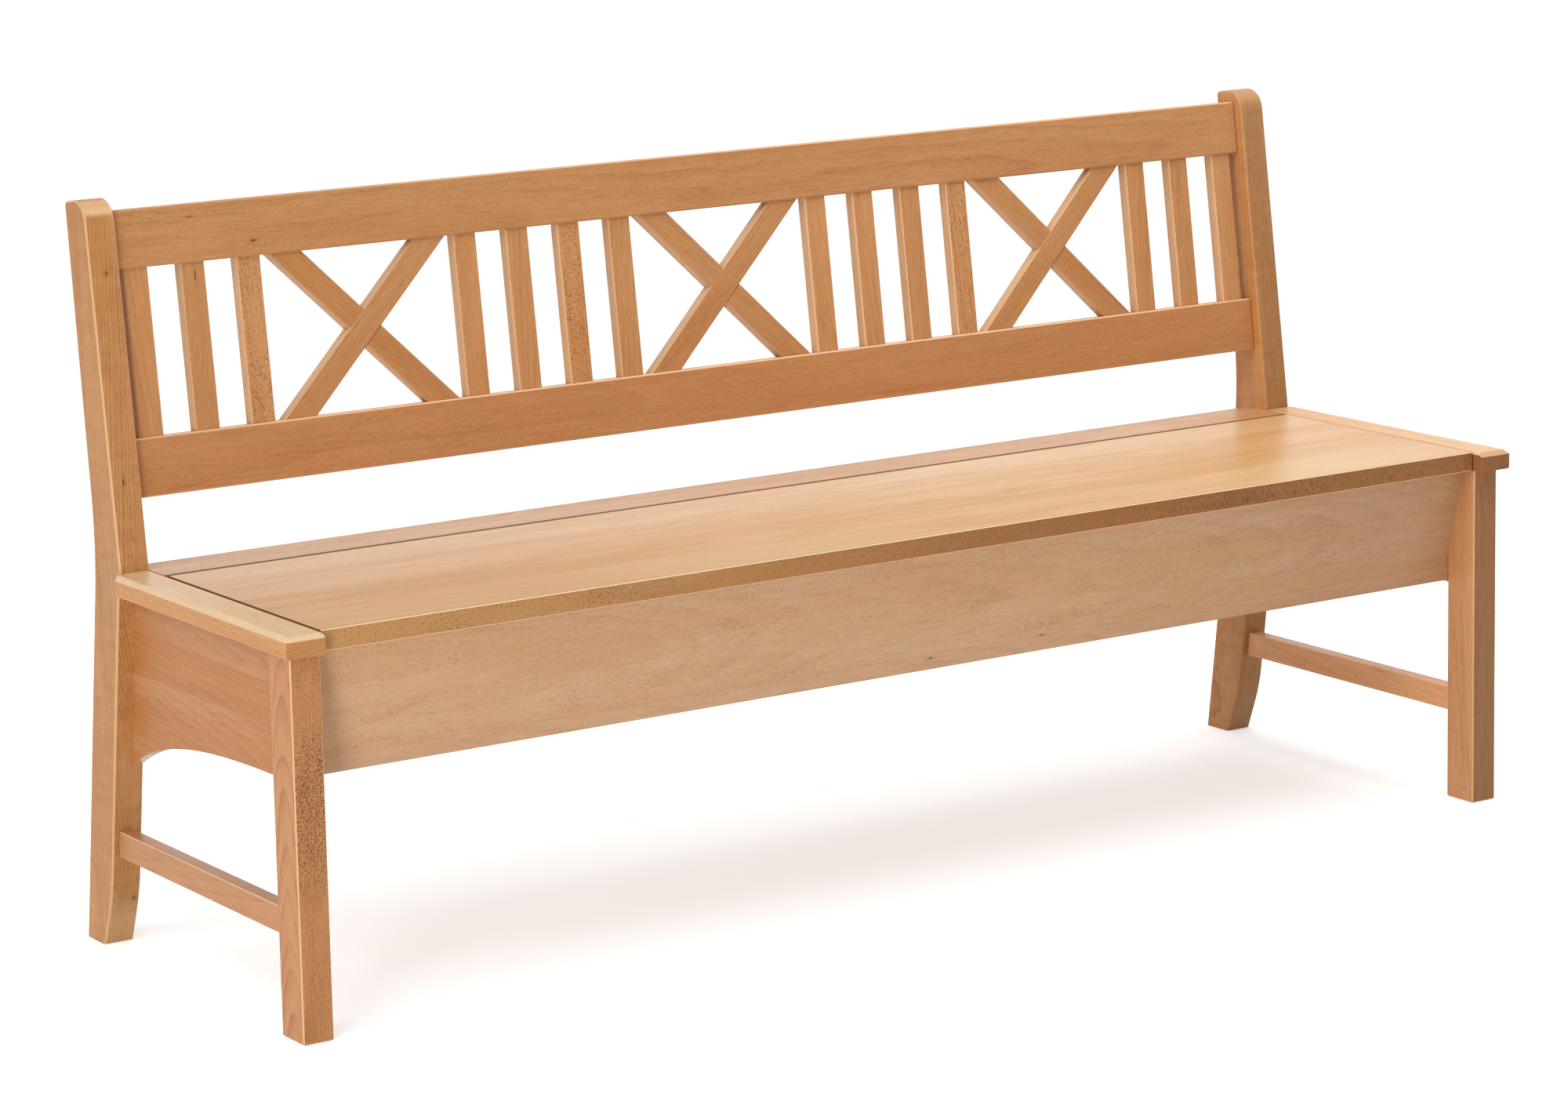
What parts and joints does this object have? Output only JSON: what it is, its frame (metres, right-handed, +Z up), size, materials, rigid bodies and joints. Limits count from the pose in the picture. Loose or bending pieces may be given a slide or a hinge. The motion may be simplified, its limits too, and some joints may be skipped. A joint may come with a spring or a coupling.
{
  "type": "settle bench",
  "caption": "Long wooden settle bench with a slatted and crossed backrest and a shallow storage chest under its lifting seat lid.",
  "frame": {"origin": "middle of the footprint on the floor", "axes": "+X along the length toward the sitter's left, seen from the front the right end; +Y from the front edge of the seat toward the backrest; +Z up"},
  "size_m": [1.8, 0.567, 0.9048],
  "materials": {
    "beech": "satin clear-oiled solid beech",
    "beech_plywood": "unfinished beech plywood",
    "hinge_steel": "dark bronzed steel"
  },
  "bodies": {
    "bench": {"back_cleat": "beech", "back_panel": "beech", "back_slat_01": "beech", "back_slat_02": "beech", "back_slat_03": "beech", "back_slat_04": "beech", "back_slat_05": "beech", "back_slat_06": "beech", "back_slat_07": "beech", "back_slat_08": "beech", "back_slat_09": "beech", "back_slat_10": "beech", "back_slat_11": "beech", "back_slat_12": "beech", "back_slat_13": "beech", "back_slat_14": "beech", "back_strip": "beech", "bottom_batten": "beech", "chest_bottom": "beech_plywood", "cross_bar_front_1": "beech", "cross_bar_front_2": "beech", "cross_bar_front_3": "beech", "cross_bar_rear_1": "beech", "cross_bar_rear_2": "beech", "cross_bar_rear_3": "beech", "end_cap_left": "beech", "end_cap_right": "beech", "front_cleat": "beech", "front_leg_left": "beech", "front_leg_right": "beech", "front_panel": "beech", "hinge_1_fixed_leaf": "hinge_steel", "hinge_1_pin": "hinge_steel", "hinge_2_fixed_leaf": "hinge_steel", "hinge_2_pin": "hinge_steel", "hinge_3_fixed_leaf": "hinge_steel", "hinge_3_pin": "hinge_steel", "hinge_screws_fixed": "hinge_steel", "lower_rail": "beech", "rear_post_left": "beech", "rear_post_right": "beech", "side_cleat_left": "beech", "side_cleat_right": "beech", "side_panel_left": "beech", "side_panel_right": "beech", "side_stretcher_left": "beech", "side_stretcher_right": "beech", "top_rail": "beech"},
    "lid": {"hinge_1_lid_leaf": "hinge_steel", "hinge_2_lid_leaf": "hinge_steel", "hinge_3_lid_leaf": "hinge_steel", "hinge_screws_lid": "hinge_steel", "lid_batten_1": "beech", "lid_batten_2": "beech", "lid_batten_3": "beech", "lid_batten_4": "beech", "seat_lid": "beech"}
  },
  "joints": [
    {"name": "lid_hinge", "type": "hinge", "parent": "bench", "child": "lid", "pos_m": [0, 0.10848, 0.468], "axis": [-1, 0, 0], "range_deg": [0, 105]}
  ]
}
